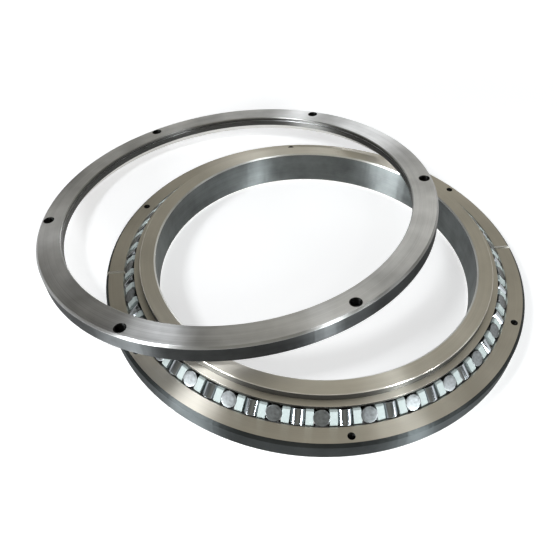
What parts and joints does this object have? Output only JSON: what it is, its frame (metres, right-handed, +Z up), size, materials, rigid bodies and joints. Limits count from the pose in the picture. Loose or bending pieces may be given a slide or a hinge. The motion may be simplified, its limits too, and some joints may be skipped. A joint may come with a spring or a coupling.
{
  "type": "crossed roller bearing",
  "caption": "Crossed roller bearing opened: split outer ring with one half lifted off and leaning, inner ring, and crossed rollers with spacers in a V raceway.",
  "frame": {"origin": "centre of the whole's box on the surface it lies on; the bearing's own axis is vertical, at x = 0.0324 m, y = -0.0237 m", "axes": "+Z up, along the bearing's axis; +X to the right and +Y away from the picture's camera"},
  "size_m": [0.3948, 0.3774, 0.0578],
  "materials": {
    "outer_ring_steel": "ground",
    "inner_ring_steel": "ground",
    "roller_steel": "polished",
    "spacer_resin": "satin"
  },
  "bodies": {
    "outer_ring": {"outer_ring_lower": "outer_ring_steel", "outer_ring_upper": "outer_ring_steel"},
    "inner_ring": {"inner_ring": "inner_ring_steel"},
    "roller_train": {"roller_pair_01": "roller_steel", "roller_pair_02": "roller_steel", "roller_pair_03": "roller_steel", "roller_pair_04": "roller_steel", "roller_pair_05": "roller_steel", "roller_pair_06": "roller_steel", "roller_pair_07": "roller_steel", "roller_pair_08": "roller_steel", "roller_pair_09": "roller_steel", "roller_pair_10": "roller_steel", "roller_pair_11": "roller_steel", "roller_pair_12": "roller_steel", "roller_pair_13": "roller_steel", "roller_pair_14": "roller_steel", "roller_pair_15": "roller_steel", "roller_pair_16": "roller_steel", "roller_pair_17": "roller_steel", "roller_pair_18": "roller_steel", "roller_pair_19": "roller_steel", "roller_pair_20": "roller_steel", "roller_pair_21": "roller_steel", "roller_pair_22": "roller_steel", "roller_pair_23": "roller_steel", "roller_pair_24": "roller_steel", "roller_pair_25": "roller_steel", "roller_pair_26": "roller_steel", "roller_pair_27": "roller_steel", "roller_pair_28": "roller_steel", "roller_pair_29": "roller_steel", "roller_pair_30": "roller_steel"}
  },
  "joints": [
    {"name": "inner_ring_spin", "type": "hinge", "parent": "outer_ring", "child": "inner_ring", "pos_m": [0.03243, -0.02366, 0.015], "axis": [0, 0, 1], "continuous": true},
    {"name": "roller_train_orbit", "type": "hinge", "parent": "outer_ring", "child": "roller_train", "pos_m": [0.03243, -0.02366, 0.015], "axis": [0, 0, 1], "continuous": true}
  ],
  "couplings": [
    {"joint": "roller_train_orbit", "follows": "inner_ring_spin", "ratio": 0.48645}
  ]
}
